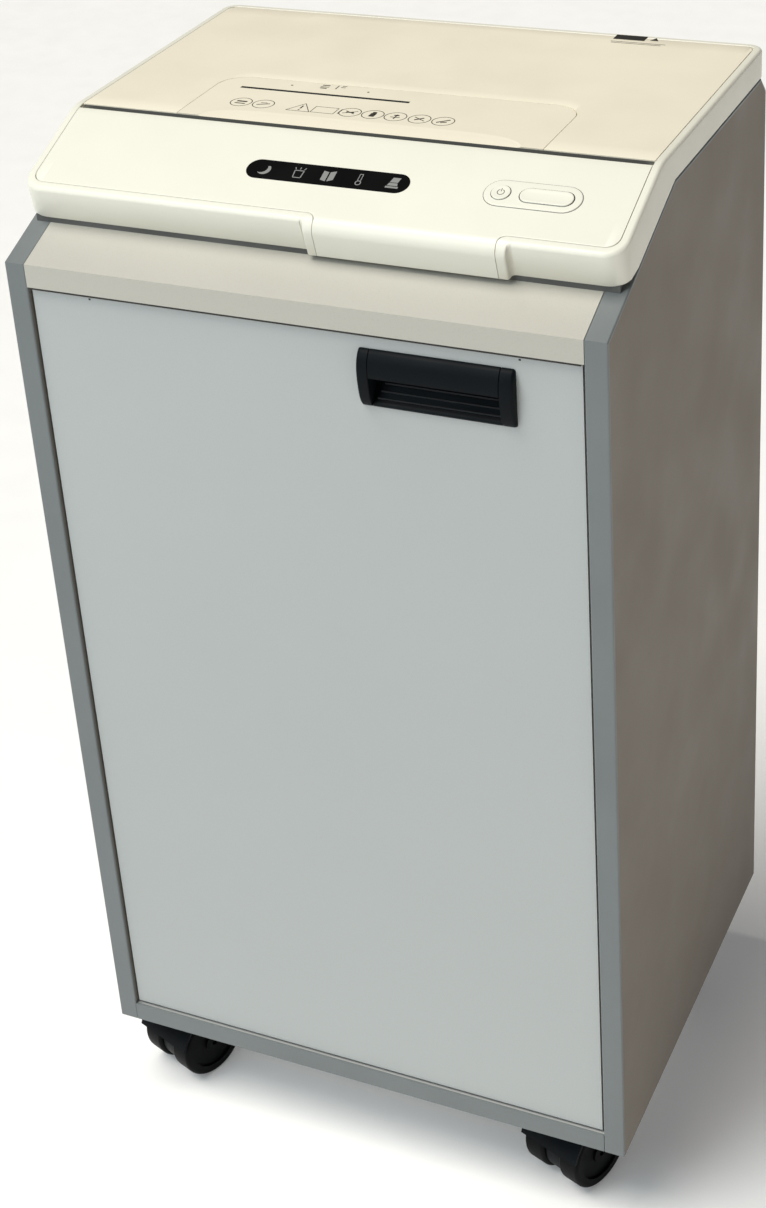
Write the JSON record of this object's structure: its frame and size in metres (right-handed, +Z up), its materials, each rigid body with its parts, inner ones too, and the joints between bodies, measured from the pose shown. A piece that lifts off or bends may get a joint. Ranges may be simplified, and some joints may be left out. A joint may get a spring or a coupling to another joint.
{
  "type": "paper shredder",
  "caption": "Office paper shredder: board cabinet on swivelling twin-wheel casters, hinged door, waste bin, and a sloped plastic head with feed slots over a geared cutting unit.",
  "frame": {"origin": "on the floor, under the middle of the outer box with the door shut", "axes": "+X to the right of a user facing the door, +Y from the door to the back, +Z up"},
  "size_m": [0.44, 0.354, 0.831],
  "materials": {
    "cabinet_laminate": "matte grey melamine laminate on chipboard",
    "door_laminate": "matte pale grey melamine laminate on chipboard",
    "board_raw": "laminated chipboard",
    "edge_band": "satin plastic edge strip",
    "head_plastic": "fine-grained off-white moulding",
    "groove_plastic": "dark grey moulding",
    "black_plastic": "satin near-black moulding",
    "display": "glossy black window",
    "gasket_foam": "matte foam strip",
    "button_plastic": "satin moulding",
    "steel": "machined",
    "cutter_steel": "ground, lightly oiled",
    "sheet_steel": "zinc-plated sheet",
    "gear_steel": "sintered",
    "bronze": "sintered bush",
    "motor_can": "black painted",
    "circuit_board": "green board",
    "bin_plastic": "black moulding",
    "magnet": "white catch body",
    "tread": "black nylon"
  },
  "bodies": {
    "cabinet": {"side_panel_left": "cabinet_laminate", "side_panel_right": "cabinet_laminate", "edge_bands": "edge_band", "bottom_board": "cabinet_laminate", "back_panel": "cabinet_laminate", "front_rail": "cabinet_laminate", "mechanism_shelf": "cabinet_laminate", "hinge_pins": "steel", "catch_magnet": "magnet", "door_sensor": "black_plastic", "head_frame": "head_plastic", "control_panel": "head_plastic", "display_window": "display", "button_surround": "head_plastic", "control_circuit_board": "circuit_board", "top_panel": "head_plastic", "feed_plate": "head_plastic", "infeed_throat": "groove_plastic", "disc_throat": "groove_plastic", "head_gasket": "gasket_foam", "side_frame_left": "sheet_steel", "side_frame_right": "sheet_steel", "gearbox_plate": "sheet_steel", "bearing_bushes": "bronze", "tie_rods": "steel", "stripper_front": "sheet_steel", "stripper_rear": "sheet_steel", "motor": "motor_can", "shred_chute": "sheet_steel", "waste_bin": "bin_plastic", "power_board": "circuit_board", "board_posts": "black_plastic", "mains_inlet": "black_plastic", "switch_housing": "black_plastic", "back_screws": "steel", "caster_plates": "sheet_steel"},
    "door": {"door_panel": "door_laminate", "pull_handle": "black_plastic", "hinge_bushes": "black_plastic", "catch_plate": "sheet_steel"},
    "front_cutter": {"cutter_front": "cutter_steel", "cutter_gear_front": "gear_steel"},
    "rear_cutter": {"cutter_rear": "cutter_steel", "cutter_gear_rear": "gear_steel", "final_gear": "gear_steel"},
    "reduction": {"countershaft": "steel", "compound_gear": "gear_steel"},
    "motor_rotor": {"motor_shaft": "steel", "motor_pinion": "gear_steel"},
    "power_key": {"power_button": "button_plastic"},
    "feed_key": {"feed_rocker": "button_plastic"},
    "mains_key": {"mains_rocker": "black_plastic"},
    "swivel_front_left": {"caster_hood_front_left": "black_plastic"},
    "wheels_front_left": {"caster_wheels_front_left": "tread"},
    "swivel_front_right": {"caster_hood_front_right": "black_plastic"},
    "wheels_front_right": {"caster_wheels_front_right": "tread"},
    "swivel_rear_left": {"caster_hood_rear_left": "black_plastic"},
    "wheels_rear_left": {"caster_wheels_rear_left": "tread"},
    "swivel_rear_right": {"caster_hood_rear_right": "black_plastic"},
    "wheels_rear_right": {"caster_wheels_rear_right": "tread"}
  },
  "joints": [
    {"name": "door_swing", "type": "hinge", "parent": "cabinet", "child": "door", "pos_m": [-0.197, -0.166, 0.4], "axis": [0, 0, -1], "range_deg": [0, 105]},
    {"name": "front_cutter_spin", "type": "hinge", "parent": "cabinet", "child": "front_cutter", "pos_m": [0, -0.083, 0.742], "axis": [1, 0, 0], "continuous": true},
    {"name": "rear_cutter_spin", "type": "hinge", "parent": "cabinet", "child": "rear_cutter", "pos_m": [0, -0.039, 0.742], "axis": [1, 0, 0], "continuous": true},
    {"name": "reduction_spin", "type": "hinge", "parent": "cabinet", "child": "reduction", "pos_m": [0, 0.01033, 0.72404], "axis": [1, 0, 0], "continuous": true},
    {"name": "motor_spin", "type": "hinge", "parent": "cabinet", "child": "motor_rotor", "pos_m": [0, 0.04822, 0.70216], "axis": [1, 0, 0], "continuous": true},
    {"name": "power_press", "type": "slide", "parent": "cabinet", "child": "power_key", "axis": [0, 0.3714, -0.9285], "range_m": [0, 0.002], "stiffness_N_per_m": 400},
    {"name": "feed_rock", "type": "hinge", "parent": "cabinet", "child": "feed_key", "pos_m": [0.1553, -0.10139, 0.81446], "axis": [0, 0.9285, 0.3714], "range_deg": [-3, 3], "stiffness_Nm_per_rad": 0.5},
    {"name": "mains_toggle", "type": "hinge", "parent": "cabinet", "child": "mains_key", "pos_m": [-0.091, 0.168, 0.174], "axis": [-1, 0, 0], "range_deg": [0, 10.6]},
    {"name": "swivel_front_left", "type": "hinge", "parent": "cabinet", "child": "swivel_front_left", "pos_m": [-0.172, -0.109, 0.06], "axis": [0, 0, 1], "continuous": true},
    {"name": "roll_front_left", "type": "hinge", "parent": "swivel_front_left", "child": "wheels_front_left", "pos_m": [-0.17952, -0.12967, 0.031], "axis": [0.9397, -0.342, 0], "continuous": true},
    {"name": "swivel_front_right", "type": "hinge", "parent": "cabinet", "child": "swivel_front_right", "pos_m": [0.172, -0.109, 0.06], "axis": [0, 0, 1], "continuous": true},
    {"name": "roll_front_right", "type": "hinge", "parent": "swivel_front_right", "child": "wheels_front_right", "pos_m": [0.16448, -0.12967, 0.031], "axis": [0.9397, -0.342, 0], "continuous": true},
    {"name": "swivel_rear_left", "type": "hinge", "parent": "cabinet", "child": "swivel_rear_left", "pos_m": [-0.172, 0.113, 0.06], "axis": [0, 0, 1], "continuous": true},
    {"name": "roll_rear_left", "type": "hinge", "parent": "swivel_rear_left", "child": "wheels_rear_left", "pos_m": [-0.17952, 0.09233, 0.031], "axis": [0.9397, -0.342, 0], "continuous": true},
    {"name": "swivel_rear_right", "type": "hinge", "parent": "cabinet", "child": "swivel_rear_right", "pos_m": [0.172, 0.113, 0.06], "axis": [0, 0, 1], "continuous": true},
    {"name": "roll_rear_right", "type": "hinge", "parent": "swivel_rear_right", "child": "wheels_rear_right", "pos_m": [0.16448, 0.09233, 0.031], "axis": [0.9397, -0.342, 0], "continuous": true}
  ],
  "couplings": [
    {"joint": "rear_cutter_spin", "follows": "front_cutter_spin", "ratio": -1},
    {"joint": "reduction_spin", "follows": "front_cutter_spin", "ratio": 4},
    {"joint": "motor_spin", "follows": "front_cutter_spin", "ratio": -16}
  ]
}
